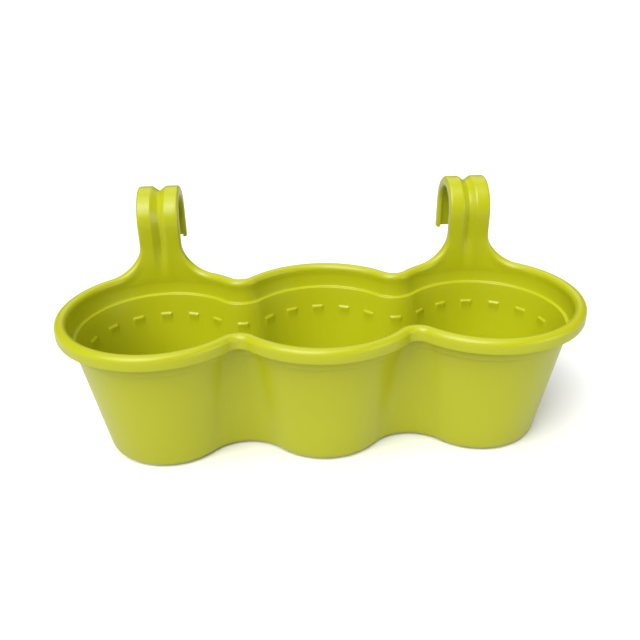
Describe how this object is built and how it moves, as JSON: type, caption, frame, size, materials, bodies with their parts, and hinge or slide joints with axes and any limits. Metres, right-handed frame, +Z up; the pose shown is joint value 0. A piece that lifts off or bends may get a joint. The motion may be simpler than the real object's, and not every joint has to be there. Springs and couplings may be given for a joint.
{
  "type": "balcony planter",
  "caption": "Three-lobed balcony planter in lime plastic with integral over-rail hooks and push-in drain plugs.",
  "frame": {"origin": "centre of the foot's resting plane, under the middle pot", "axes": "+X along the row of pots to the right as seen from the front, +Y towards the railing, +Z up"},
  "size_m": [0.431, 0.2146, 0.1912],
  "materials": {
    "lime_plastic": "semi-gloss moulded polypropylene",
    "plug_plastic": "semi-gloss moulded polypropylene"
  },
  "bodies": {
    "planter": {"left_pot_wall": "lime_plastic", "right_pot_wall": "lime_plastic", "middle_front_wall": "lime_plastic", "middle_back_wall": "lime_plastic", "trough_floor": "lime_plastic", "front_rim": "lime_plastic", "back_rim": "lime_plastic", "left_hook_root": "lime_plastic", "right_hook_root": "lime_plastic", "left_hook": "lime_plastic", "right_hook": "lime_plastic"},
    "left_plug": {"left_drain_plug": "plug_plastic"},
    "middle_plug": {"middle_drain_plug": "plug_plastic"},
    "right_plug": {"right_drain_plug": "plug_plastic"}
  },
  "joints": [
    {"name": "left_plug_pull", "type": "slide", "parent": "planter", "child": "left_plug", "axis": [0, 0, 1], "range_m": [0, 0.03]},
    {"name": "middle_plug_pull", "type": "slide", "parent": "planter", "child": "middle_plug", "axis": [0, 0, 1], "range_m": [0, 0.03]},
    {"name": "right_plug_pull", "type": "slide", "parent": "planter", "child": "right_plug", "axis": [0, 0, 1], "range_m": [0, 0.03]}
  ]
}
